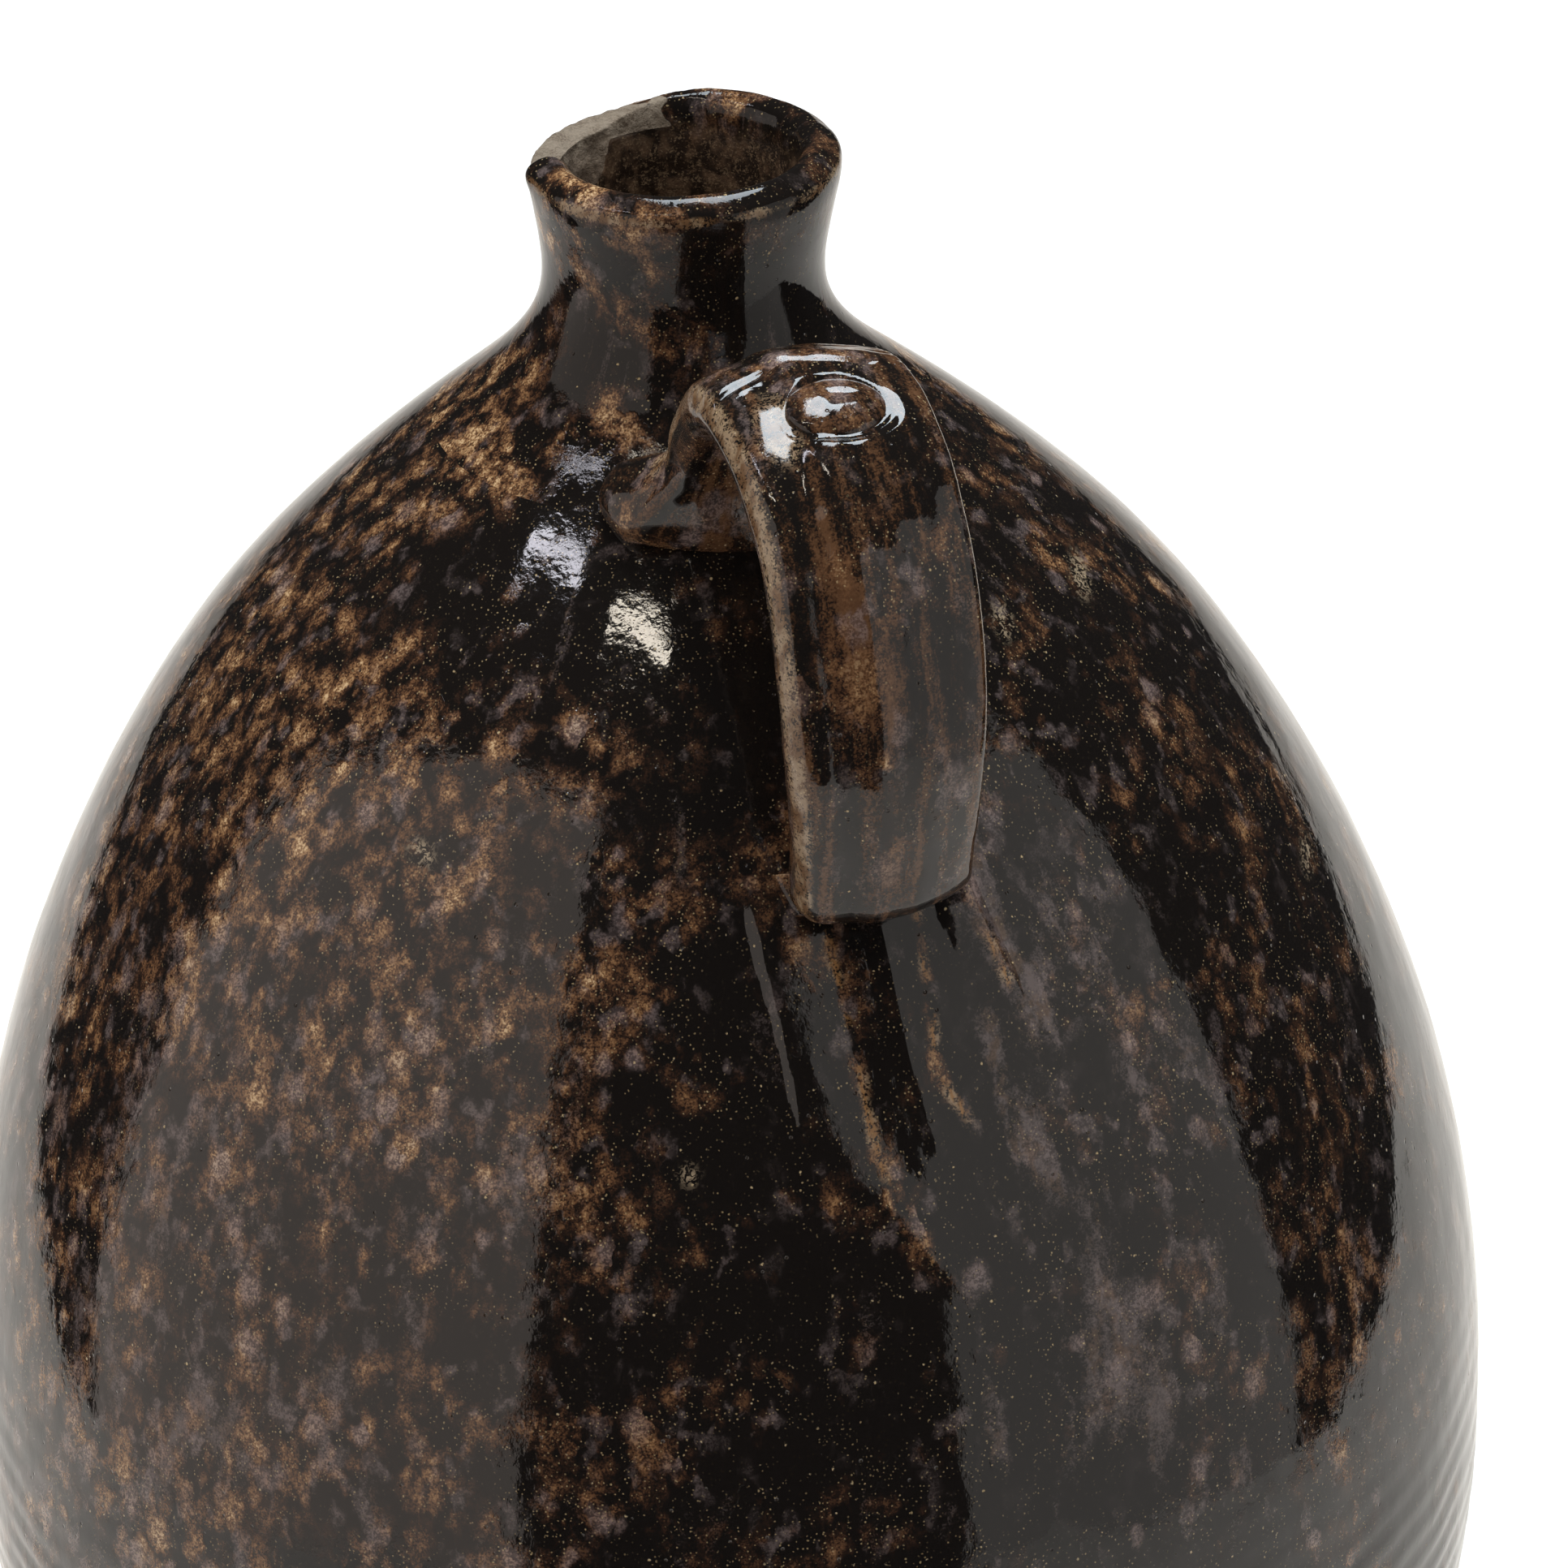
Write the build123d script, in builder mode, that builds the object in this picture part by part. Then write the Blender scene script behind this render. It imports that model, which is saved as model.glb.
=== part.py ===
from build123d import *

import os

# Large stoneware sake jug with one strap handle on the shoulder.
# Millimetres.  +Z is up, the origin is the centre of the foot, and the handle stands towards -Y.
# It is built as a potter builds it: slab, belly, shoulder, neck and lip, each a ring of clay set on
# the one below it, and a strap handle held by a foot of clay at each end.

os.makedirs("parts", exist_ok=True)

# ---- driving dimensions of the jug --------------------------------------------------------------

height = 342.5            # foot to lip
belly_radius = 121.0      # widest place of the body
belly_height = 130.0
foot_radius = 82.0
foot_chamfer = 3.0
waist_radius = 21.1       # narrowest place outside the neck
waist_height = 324.0
lip_radius = 23.2         # outside of the rolled lip
lip_depth = 7.5           # from the lip's top to where it leaves the neck
bore_radius = 16.5        # inside the neck, where a stopper sits
bore_bottom = 310.0
bore_top = 333.0          # the mouth flares out above this
mouth_radius = 16.9       # the lip's inner edge
floor_thickness = 12.0
wall_thickness = 8.0

# Heights where one ring of clay was set on the next.
shoulder_joint = 150.0
neck_joint = 300.0
lip_joint = bore_top

# The broken place in the lip: a scoop out of its inner side, and a lowered outer edge.
chip_direction = 129.0    # degrees from +X towards +Y
scoop_radius = 16.0
scoop_offset = 7.7        # from the jug's axis to the centre of the scoop
scoop_height = height + 3.5
chip_slope = 8.0          # degrees
chip_start = 15.0         # from the jug's axis to where the slope leaves the lip's top

# ---- driving dimensions of the handle -------------------------------------------------------------

strap_half_width = 15.0       # across X, at the crown
strap_end_half_width = 12.8   # at its lower end
strap_taper_height = 300.0    # the strap narrows below this
strap_edge_radius = 2.2
upper_joint = 313.0           # height where the strap grows out of its upper foot
lower_joint = 266.0           # height where the strap ends on its lower foot

# Each foot of clay starts inside the shoulder and is cut back to the jug's surface.
upper_foot_start = 288.0
upper_foot_middle = -37.0
upper_foot_depth = 20.0
upper_foot_half_width = 20.5
upper_foot_rounding = 8.0
lower_foot_start = 244.0
lower_foot_middle = -76.0
lower_foot_depth = 14.0
lower_foot_half_width = 14.6
lower_foot_rounding = 4.0

# Oval pellet pressed into the crown of the strap.
pad_half_width = 6.0
pad_half_length = 4.8
pad_groove = 1.2              # width of the groove around it
pad_recess = 1.8              # depth of its seat in the strap
pad_thickness = 2.2
pad_place = 0.37              # fraction of the way along the strap's upper side
pad_edge_radius = 0.7

# ---- the jug's wall, as a half section in the XZ plane --------------------------------------------

foot_edge = (foot_radius + foot_chamfer, foot_chamfer)
waist = (waist_radius, waist_height)
above_waist = (waist_radius + 0.6, waist_height + 6.0)
lip_corner = (lip_radius - 0.5, height - lip_depth)
lip_outside = (lip_radius, height - 3.4)
lip_top = ((lip_radius + mouth_radius) / 2, height)
lip_inside = (mouth_radius + 1.0, height - 1.2)
lip_bottom_inside = (mouth_radius, height - 4.0)
outside_points = [
    foot_edge,
    (106.0, 47.0),
    (belly_radius, belly_height),
    (109.3, 200.0),
    (77.8, 260.0),
    (49.7, 290.0),
    (26.4, 310.0),
    waist,
]
inside_points = [
    (foot_radius - 0.5, floor_thickness),
    (98.0, 47.0),
    (belly_radius - wall_thickness, belly_height),
    (102.4, 197.0),
    (72.5, 254.0),
    (44.5, 283.5),
    (24.0, 301.0),
]
outside_tangents = ((0.62, 1), (-0.02, 1))
inside_tangents = ((1, -0.75), (-0.45, -1))

with BuildLine() as outside_line:
    Polyline((foot_radius, 0), foot_edge)
    Spline(*outside_points, tangents=outside_tangents)
    ThreePointArc(waist, above_waist, lip_corner)
    ThreePointArc(lip_corner, lip_outside, lip_top)

with BuildLine() as inside_line:
    ThreePointArc(lip_top, lip_inside, lip_bottom_inside)
    Polyline(lip_bottom_inside, (bore_radius, bore_top), (bore_radius, bore_bottom))
    ThreePointArc((bore_radius, bore_bottom), (18.2, 305.5), inside_points[-1])
    Spline(*reversed(inside_points), tangents=inside_tangents)

with BuildSketch(Plane.XZ) as wall_section:
    with BuildLine():
        add(outside_line.line)
        add(inside_line.line)
        Polyline(inside_points[0], (0, floor_thickness), (0, 0), (foot_radius, 0))
    make_face()

with BuildSketch(Plane.XZ) as filled_section:
    with BuildLine():
        add(outside_line.line)
        Polyline(lip_top, (0, height), (0, 0), (foot_radius, 0))
    make_face()


def wall_between(low, high):
    """The part of the wall's half section between two heights."""
    with BuildSketch(Plane.XZ) as ring_section:
        add(wall_section.sketch_local)
        with Locations((0, (low + high) / 2)):
            Rectangle(3 * belly_radius, high - low, mode=Mode.INTERSECT)
    return ring_section.sketch


# ---- the rings of clay that make the jug ------------------------------------------------------------

with BuildPart() as base_disc:
    add(wall_between(0, floor_thickness))
    revolve(axis=Axis.Z)

with BuildPart() as lower_wall:
    add(wall_between(floor_thickness, shoulder_joint))
    revolve(axis=Axis.Z)

with BuildPart() as shoulder_dome:
    add(wall_between(shoulder_joint, neck_joint))
    revolve(axis=Axis.Z)

with BuildPart() as neck_collar:
    add(wall_between(neck_joint, lip_joint))
    revolve(axis=Axis.Z)

# This plane's X axis points from the jug's axis to the middle of the broken place.
chip_plane = Plane.XY.rotated((0, 0, chip_direction))
slope_origin = chip_plane.from_local_coords((chip_start, 0, height))
slope_plane = Plane(slope_origin, x_dir=chip_plane.x_dir).rotated((0, chip_slope, 0))

with BuildPart() as lip_ring:
    add(wall_between(lip_joint, height + lip_depth))
    revolve(axis=Axis.Z)
    with BuildSketch(slope_plane):
        with Locations((lip_radius, 0)):
            Rectangle(2 * lip_radius, 4 * lip_radius)
    extrude(amount=lip_radius, mode=Mode.SUBTRACT)
    with Locations(chip_plane.from_local_coords((scoop_offset, 0, scoop_height))):
        Sphere(scoop_radius, mode=Mode.SUBTRACT)

# The whole jug filled solid, used only to cut the handle's feet to its surface.
with BuildPart() as filled_jug:
    add(filled_section.sketch)
    revolve(axis=Axis.Z)

# ---- the strap, drawn from the side in the YZ plane -------------------------------------------------

upper_side = [
    (-33.8, upper_joint),
    (-38.0, 320.5),
    (-46.0, 329.0),
    (-57.0, 332.5),
    (-69.5, 330.4),
    (-83.0, 320.5),
    (-93.5, 300.0),
    (-95.3, 287.0),
    (-92.8, 274.0),
    (-89.7, lower_joint),
]
under_side = [
    (-47.0, upper_joint),
    (-53.5, 320.8),
    (-61.5, 323.2),
    (-75.0, 316.5),
    (-84.5, 299.0),
    (-86.0, 286.0),
    (-83.4, 273.0),
    (-80.6, lower_joint),
]
upper_end_middle = (upper_side[0][0] + under_side[0][0]) / 2
upper_end_depth = upper_side[0][0] - under_side[0][0]
lower_end_middle = (upper_side[-1][0] + under_side[-1][0]) / 2
lower_end_depth = under_side[-1][0] - upper_side[-1][0]

with BuildPart() as handle_strap:
    with BuildSketch(Plane.YZ):
        with BuildLine():
            upper_edge = Spline(*upper_side)
            Line(upper_side[-1], under_side[-1])
            Spline(*under_side)
            Line(under_side[0], upper_side[0])
        make_face()
    extrude(amount=strap_half_width, both=True)
    # Its outline from the front, which narrows towards the lower end.
    with BuildSketch(Plane.XZ):
        with BuildLine():
            Polyline(
                (0, lower_joint),
                (strap_end_half_width, lower_joint),
                (strap_half_width, strap_taper_height),
                (strap_half_width, height),
                (0, height),
            )
            mirror(about=Plane.YZ)
        make_face()
    extrude(amount=height, mode=Mode.INTERSECT)
    long_edges = handle_strap.edges().filter_by(lambda edge: edge.length > 2.5 * strap_half_width)
    fillet(long_edges, radius=strap_edge_radius)
    # Oval seat for the pellet, sunk square to the crown.
    crown = upper_edge @ pad_place
    slope = upper_edge % pad_place
    pad_plane = Plane(origin=(0, crown.X, crown.Y), x_dir=(1, 0, 0), z_dir=(0, slope.Y, -slope.X))
    with BuildSketch(pad_plane.offset(-pad_recess)):
        Ellipse(pad_half_width + pad_groove, pad_half_length + pad_groove)
    extrude(amount=2 * pad_recess, mode=Mode.SUBTRACT)

with BuildPart() as thumb_pad:
    with BuildSketch(pad_plane.offset(-pad_recess)):
        Ellipse(pad_half_width, pad_half_length)
    extrude(amount=pad_thickness)
    top_face = thumb_pad.faces().sort_by(Axis(pad_plane.origin, pad_plane.z_dir))[-1]
    fillet(top_face.edges(), radius=pad_edge_radius)

# ---- the two feet of clay that hold the strap -------------------------------------------------------

with BuildPart() as handle_upper_root:
    with BuildSketch(Plane.XY.offset(upper_joint)):
        with Locations((0, upper_end_middle)):
            RectangleRounded(2 * strap_half_width, upper_end_depth, strap_edge_radius)
    with BuildSketch(Plane.XY.offset(upper_foot_start)):
        with Locations((0, upper_foot_middle)):
            RectangleRounded(2 * upper_foot_half_width, upper_foot_depth, upper_foot_rounding)
    loft()
    add(filled_jug.part, mode=Mode.SUBTRACT)

with BuildPart() as handle_lower_root:
    with BuildSketch(Plane.XY.offset(lower_joint)):
        with Locations((0, lower_end_middle)):
            RectangleRounded(2 * strap_end_half_width, lower_end_depth, strap_edge_radius)
    with BuildSketch(Plane.XY.offset(lower_foot_start)):
        with Locations((0, lower_foot_middle)):
            RectangleRounded(2 * lower_foot_half_width, lower_foot_depth, lower_foot_rounding)
    loft()
    add(filled_jug.part, mode=Mode.SUBTRACT)

# ---- one file for each piece ------------------------------------------------------------------------

pieces = {
    "base_disc": base_disc,
    "lower_wall": lower_wall,
    "shoulder_dome": shoulder_dome,
    "neck_collar": neck_collar,
    "lip_ring": lip_ring,
    "handle_strap": handle_strap,
    "handle_upper_root": handle_upper_root,
    "handle_lower_root": handle_lower_root,
    "thumb_pad": thumb_pad,
}
for name, piece in pieces.items():
    piece.part.label = name
    export_step(piece.part, f"parts/{name}.step")
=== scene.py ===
import math

import bpy
import numpy as np
from mathutils import Matrix, Vector

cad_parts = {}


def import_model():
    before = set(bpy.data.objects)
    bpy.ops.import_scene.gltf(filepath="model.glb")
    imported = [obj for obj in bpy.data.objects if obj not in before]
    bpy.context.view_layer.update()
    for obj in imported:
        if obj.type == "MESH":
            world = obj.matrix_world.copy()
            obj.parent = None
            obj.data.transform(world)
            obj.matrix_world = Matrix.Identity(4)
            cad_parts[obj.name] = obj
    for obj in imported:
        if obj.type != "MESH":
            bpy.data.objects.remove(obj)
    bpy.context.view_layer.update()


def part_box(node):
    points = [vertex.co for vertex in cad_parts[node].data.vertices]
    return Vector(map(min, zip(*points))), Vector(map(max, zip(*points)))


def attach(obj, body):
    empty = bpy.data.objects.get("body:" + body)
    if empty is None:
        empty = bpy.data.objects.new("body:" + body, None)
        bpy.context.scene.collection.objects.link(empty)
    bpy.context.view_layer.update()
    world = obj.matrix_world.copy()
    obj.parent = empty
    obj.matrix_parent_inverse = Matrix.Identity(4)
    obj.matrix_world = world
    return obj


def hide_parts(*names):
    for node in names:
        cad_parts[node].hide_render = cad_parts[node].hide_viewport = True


# Stoneware sake jug in a dark, mottled iron glaze.  Metres, in the CAD frame: the jug's axis is Z,
# its foot stands on z = 0 and its handle points towards -Y.  Shapes are worked out in millimetres.

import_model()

MM = 0.001
TURN = 17.0               # degrees from the camera round to the handle
SEGMENTS = 600            # round the jug

# Heights where one ring of clay meets the next.
BASE_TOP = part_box("base_disc")[1].z / MM
SHOULDER_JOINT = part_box("lower_wall")[1].z / MM
NECK_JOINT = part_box("shoulder_dome")[1].z / MM
LIP_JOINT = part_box("neck_collar")[1].z / MM
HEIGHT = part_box("lip_ring")[1].z / MM

# Half section of the wall: up the outside, over the lip and down the inside.
OUTSIDE = [
    (85.0, 3.0), (106.0, 47.0), (121.0, 130.0), (109.5, 200.0), (94.0, 235.0), (74.3, 265.0),
    (55.0, 285.0), (37.7, 300.0), (26.7, 310.0), (21.6, 319.0), (21.1, 325.0), (21.8, 330.5),
    (22.7, 335.5),
]
LIP = [
    (23.2, 339.2), (23.05, 340.3), (21.9, 341.5), (20.0, HEIGHT), (18.1, 341.7),
    (17.1, 340.0), (16.8, 338.0),
]
INSIDE = [
    (16.55, 335.5), (16.5, 333.0), (16.5, 321.0), (16.5, 310.0), (18.2, 305.0), (24.0, 301.0),
    (44.5, 283.5), (72.5, 254.0), (102.4, 197.0), (113.0, 130.0), (98.0, 47.0), (81.5, 12.0),
]
BOTTOM = [
    (0.5, 1.4), (40.0, 1.4), (72.0, 1.4), (74.5, 1.1), (76.5, 0.3), (78.5, 0.0), (82.0, 0.0),
    (84.0, 0.6), (85.0, 3.0),
]
WIRE_MARKS_APART = 4.4


# ---- numbers and smooth curves ----

def spline(knots, values, at, ends=None):
    """A smooth curve through values at knots, read at the places in at.

    ends is the slope at each end.  Without it the curve closes on its first knot."""
    x, y = np.asarray(knots, float), np.asarray(values, float)
    n, h = len(x) - 1, np.diff(x)
    s = np.diff(y, axis=0) / h[:, None]
    size = n if ends is None else n + 1
    a, b = np.zeros((size, size)), np.zeros((size, y.shape[1]))
    for i in range(size):
        before, after = i - 1, i
        if ends is not None and i == 0:
            a[0, :2], b[0] = (2 * h[0], h[0]), 6 * (s[0] - ends[0])
        elif ends is not None and i == n:
            a[n, n - 1:], b[n] = (h[-1], 2 * h[-1]), 6 * (ends[1] - s[-1])
        else:
            a[i, before] += h[before]
            a[i, i] += 2 * (h[before] + h[after])
            a[i, (i + 1) % size] += h[after]
            b[i] = 6 * (s[after] - s[before])
    m = np.linalg.solve(a, b)
    m = np.vstack([m, m[:1]]) if ends is None else m
    at = np.asarray(at, float)
    i = np.clip(np.searchsorted(x, at, "right") - 1, 0, n - 1)
    g, u, w = h[i][:, None], (at - x[i])[:, None], (x[i + 1] - at)[:, None]
    cubic = (m[i] * w**3 + m[i + 1] * u**3) / (6 * g)
    return cubic + (y[i] / g - m[i] * g / 6) * w + (y[i + 1] / g - m[i + 1] * g / 6) * u


def chords(points):
    """Distance along a line of points."""
    steps = np.linalg.norm(np.diff(np.asarray(points, float), axis=0), axis=1)
    return np.concatenate([[0], np.cumsum(steps)])


def smooth(low, high, x):
    """0 below low, 1 above high, and an even ramp between."""
    t = np.clip((np.asarray(x, float) - low) / (high - low), 0, 1)
    return t * t * (3 - 2 * t)


def hump(x, middle, width):
    """1 at the middle, and next to nothing two widths away."""
    return np.exp(-(((x - middle) / width) ** 2))


def lumps(p, size, seed):
    """Even, seeded lumps about as far apart as size, from about -1 to 1."""
    draw = np.random.default_rng(seed)
    order = draw.permutation(256)
    order = np.concatenate([order, order])
    slopes = draw.normal(size=(256, 3))
    slopes /= np.linalg.norm(slopes, axis=1)[:, None]
    q = np.asarray(p, float) / size + 100.0
    cell = np.floor(q).astype(int)
    f = q - cell
    fade = f * f * f * (f * (f * 6 - 15) + 10)
    total = 0
    for corner in np.ndindex(2, 2, 2):
        i, j, k = ((cell[..., axis] + corner[axis]) & 255 for axis in range(3))
        slope = slopes[order[order[order[i] + j] + k]]
        near = np.where(corner, fade, 1 - fade)
        total = total + near[..., 0] * near[..., 1] * near[..., 2] * (slope * (f - corner)).sum(-1)
    return total * 1.6


def unit(v):
    return v / np.maximum(np.linalg.norm(v, axis=-1, keepdims=True), 1e-12)


def grid_normals(p, flip=1):
    """Normals of a grid of points that closes on itself along its second axis."""
    along = np.gradient(p, axis=0)
    around = np.roll(p, -1, 1) - np.roll(p, 1, 1)
    return flip * unit(np.cross(around, along))


# ---- meshes ----

def grid_faces(rows, columns):
    """Quads of a grid that closes on itself along its columns."""
    i = np.arange(rows - 1)[:, None] * columns
    j = np.arange(columns)[None, :]
    k = (j + 1) % columns
    return np.stack([i + j, i + k, i + columns + k, i + columns + j], -1).reshape(-1, 4)


FACTS = ("thin", "bare", "amber", "mauve", "inner", "scar")


def facts_at(flow, **given):
    """What a material reads at each point of a grid: flow, its place along the glaze's own run in
    millimetres, and shares from 0 to 1, which are 0 where they aren't given."""
    shares = {k: np.broadcast_to(given.get(k, 0.0), flow.shape[:2]) for k in FACTS}
    return {"flow": flow * MM, **shares}


def take(facts, rows):
    """Some of the rows of each fact."""
    return {k: v[rows] for k, v in facts.items()}


def in_scene(name, data):
    """A new object of the scene."""
    made = bpy.data.objects.new(name, data)
    bpy.context.scene.collection.objects.link(made)
    return made


def make_piece(name, points, faces, normals, material, facts):
    """One closed mesh that stands for the CAD node of the same name.

    normals holds one normal for each corner of each face."""
    mesh = bpy.data.meshes.new(name)
    mesh.from_pydata((points * MM).tolist(), [], faces)
    mesh.polygons.foreach_set("use_smooth", [True] * len(mesh.polygons))
    for fact, values in facts.items():
        kind, field = ("FLOAT_VECTOR", "vector") if values.ndim == 2 else ("FLOAT", "value")
        data = mesh.attributes.new(fact, kind, "POINT").data
        data.foreach_set(field, values.astype(np.float32).ravel())
    mesh.normals_split_custom_set(normals.tolist())
    mesh.materials.append(material)
    piece = in_scene("visual_" + name, mesh)
    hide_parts(name)
    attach(piece, "root")


class Shell:
    """Grids of points, each closed on itself, gathered into one piece."""

    def __init__(self):
        self.points, self.faces, self.normals, self.facts, self.count = [], [], [], [], 0

    def sheet(self, p, n, facts, flip=False):
        """Adds a grid with its own normals."""
        rows, columns = p.shape[:2]
        quads = grid_faces(rows, columns)
        quads = quads[:, ::-1] if flip else quads
        self.faces += (quads + self.count).tolist()
        self.normals.append(n.reshape(-1, 3)[quads.ravel()])
        self._keep(p, facts)

    def lid(self, ring, facts, flip=False):
        """Closes a ring with a fan round its middle."""
        middle = ring.mean(0, keepdims=True)
        columns = len(ring)
        j = np.arange(columns)
        fan = np.stack([j, (j + 1) % columns, np.full(columns, columns)], -1)
        fan = fan[:, ::-1] if flip else fan
        p = np.vstack([ring, middle])
        face_normals = unit(np.cross(p[fan[:, 1]] - p[fan[:, 0]], p[fan[:, 2]] - p[fan[:, 0]]))
        self.faces += (fan + self.count).tolist()
        self.normals.append(np.repeat(face_normals, 3, axis=0))
        self._keep(p[None], {k: np.concatenate([v, v[:1]])[None] for k, v in facts.items()})

    def _keep(self, p, facts):
        flat = p.reshape(-1, 3)
        self.points.append(flat)
        self.facts.append({k: v.reshape((len(flat),) + v.shape[2:]) for k, v in facts.items()})
        self.count += len(flat)

    def piece(self, name, materials, slot):
        """Joins points that share a place, so that the piece is one closed mesh."""
        points = np.vstack(self.points)
        _, first, same = np.unique(
            np.round(points, 5), axis=0, return_index=True, return_inverse=True)
        same, every = same.ravel(), np.vstack(self.normals)
        faces, normals, start = [], [], 0
        for face in self.faces:
            corner = same[face]
            keep = [i for i in range(len(face)) if corner[i] != corner[i - 1]]
            if len(keep) > 2:
                faces.append([int(corner[i]) for i in keep])
                normals.append(every[[start + i for i in keep]])
            start += len(face)
        facts = {k: np.concatenate([f[k] for f in self.facts])[first] for k in self.facts[0]}
        normals = np.vstack(normals)
        make_piece(name, points[first], faces, normals, materials[slot], facts)


# ---- the jug's surface ----

WALL = np.array(OUTSIDE + LIP + INSIDE)
WALL_CHORDS = chords(WALL)
WALL_ENDS = (np.array([0.53, 0.85]), np.array([-0.8, -0.6]))
LIP_TOP_CHORD = WALL_CHORDS[len(OUTSIDE) + 3]
LIP_OUTER_CHORD = WALL_CHORDS[len(OUTSIDE) + 1]
LIP_INNER_CHORD = WALL_CHORDS[len(OUTSIDE) + 6]
FINE = np.linspace(0, WALL_CHORDS[-1], 6000)
FINE_WALL = spline(WALL_CHORDS, WALL, FINE, WALL_ENDS)


def wall_line(at):
    """(radius, height) at distances along the wall's half section."""
    return spline(WALL_CHORDS, WALL, at, WALL_ENDS)


def chord_at(height, inside=False):
    """Distance along the half section where the wall reaches a height."""
    side = FINE > LIP_TOP_CHORD if inside else FINE <= LIP_TOP_CHORD
    z, c = FINE_WALL[side, 1], FINE[side]
    order = np.argsort(z)
    return np.interp(height, z[order], c[order])


def height_at(radius):
    """Height of the shoulder's outside at a radius."""
    side = (FINE <= LIP_TOP_CHORD) & (FINE_WALL[:, 1] > 130) & (FINE_WALL[:, 1] < 324)
    r, z = FINE_WALL[side, 0], FINE_WALL[side, 1]
    return np.interp(radius, r[::-1], z[::-1])


# Clay smeared down the body below the handle's lower end: heights, where each leg's steep edge
# runs, how far its ramp reaches across from there, and how high the edge stands above the wall.
LEGS = [
    ((258, 252, 244, 232, 224, 216, 206), (-17.0, -16.9, -16.3, -16.0, -12.4, -5.3, 2.0), 9.0,
     (1.2, 1.15, 1.1, 1.0, 0.8, 0.5, 0.0)),
    ((258, 247, 238, 230, 222), (0.0, 0.0, 0.2, 1.5, 3.5), 7.0, (0.75, 0.6, 0.45, 0.25, 0.0)),
    ((260, 254, 248, 242, 236), (14.0, 14.9, 16.9, 18.7, 20.0), -6.5, (1.15, 1.1, 0.9, 0.6, 0.0)),
]
# Heights and places across of the amber lines where the glaze broke over the smeared clay.
LEG_LINES = [
    ((255, 245, 235, 226, 218, 206), (-7.6, -7.0, -6.8, -6.5, -4.0, 1.5)),
    ((256, 247, 242, 237, 232, 226), (6.2, 5.6, 5.3, 4.4, 5.9, 9.2)),
    ((257, 248, 241), (13.8, 16.6, 18.7)),
]


def legs(p):
    """How far the smeared clay stands above the wall, and where its amber lines run."""
    x, z = p[..., 0], p[..., 2]
    front = p[..., 1] < 0
    rise, line = np.zeros_like(x), np.zeros_like(x)
    for heights, places, reach, edge in LEGS:
        across = x - np.interp(z, heights[::-1], places[::-1])
        tall = np.interp(z, heights[::-1], edge[::-1]) * smooth(263, 253, z)
        ramp = np.clip(1 - across / reach, 0, 1)
        ramp = np.where(across * reach < 0, smooth(1.7, 0, np.abs(across)), ramp)
        rise += front * tall * ramp
    for heights, places in LEG_LINES:
        at = np.interp(z, heights[::-1], places[::-1])
        top, foot = heights[0], heights[-1]
        inside = smooth(top + 2, top - 2, z) * smooth(foot - 2, foot + 4, z)
        line += front * inside * hump(x, at, 1.1)
    return rise, np.clip(line, 0, 1)


def wall_relief(p):
    """How far the thrown and glazed outside stands out of its even profile."""
    z = p[..., 2]
    slow = 0.32 * lumps(p, 58, 1) + 0.12 * lumps(p, 23, 2)
    ripple = 0.070 * lumps(p * (1, 1, 0.6), 10, 3) + 0.040 * lumps(p * (1, 1, 0.55), 4.6, 4)
    ripple = ripple * (0.20 + 0.80 * smooth(290, 264, z))
    narrow = smooth(302, 262, z)
    wander = z + 1.7 * lumps(p, 38, 5) + 0.7 * lumps(p, 13, 18)
    ring_size = 0.16 * smooth(172, 120, z) * smooth(14, 40, z)
    turns = np.sin(math.tau * wander / RINGS_APART)
    rings = ring_size * (0.7 + 0.9 * lumps(p, 24, 6)) * turns
    return slow * (0.35 + 0.65 * narrow) + ripple + rings + legs(p)[0]


def lean(z):
    """Sideways lean of the neck, as the photographed jug has, in the CAD frame."""
    amount = LEAN * smooth(303, 342, z)
    turn = math.radians(TURN)
    return np.stack([amount * math.cos(turn), -amount * math.sin(turn), 0 * amount], -1)


# The broken place in the lip, at angles from +X towards +Y: how broken it is, the radius and height
# of the edge between the pale ledge and the steep gritty face, and the height where that face ends.
CHIP_ANGLE = np.array([60, 80, 98, 113, 118, 124, 133, 145, 155, 162, 167, 169.5, 171.5])
CHIP_AMOUNT = np.array([0, 0.5, 0.95, 1, 1, 1, 1, 1, 1, 1, 1, 0.9, 0])
CHIP_RADIUS = np.array(
    [18.4, 18.2, 17.8, 17.5, 18.0, 18.5, 18.7, 18.6, 18.6, 18.4, 18.0, 17.8, 17.8])
CHIP_HEIGHT = np.array(
    [342.3, 341.8, 340.8, 339.7, 339.2, 339.0, 338.8, 338.8, 338.8, 339.0, 339.3, 339.8, 341])
CHIP_FOOT = np.array([338, 338, 338, 337.6, 333, 331, 330, 329.6, 330, 331, 333.5, 336, 338])
CHIP_BACK, CHIP_DROP = 0.5, 0.7      # how far the lip's outer corner is broken back and down
DROP_ANGLE, DROP_RADIUS = math.radians(173.5), 22.4      # the hard drop of glaze beside it
RINGS_APART = 5.6         # the throwing rings
LEAN = 1.7                # how far the lip stands to the camera's right of the foot


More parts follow.
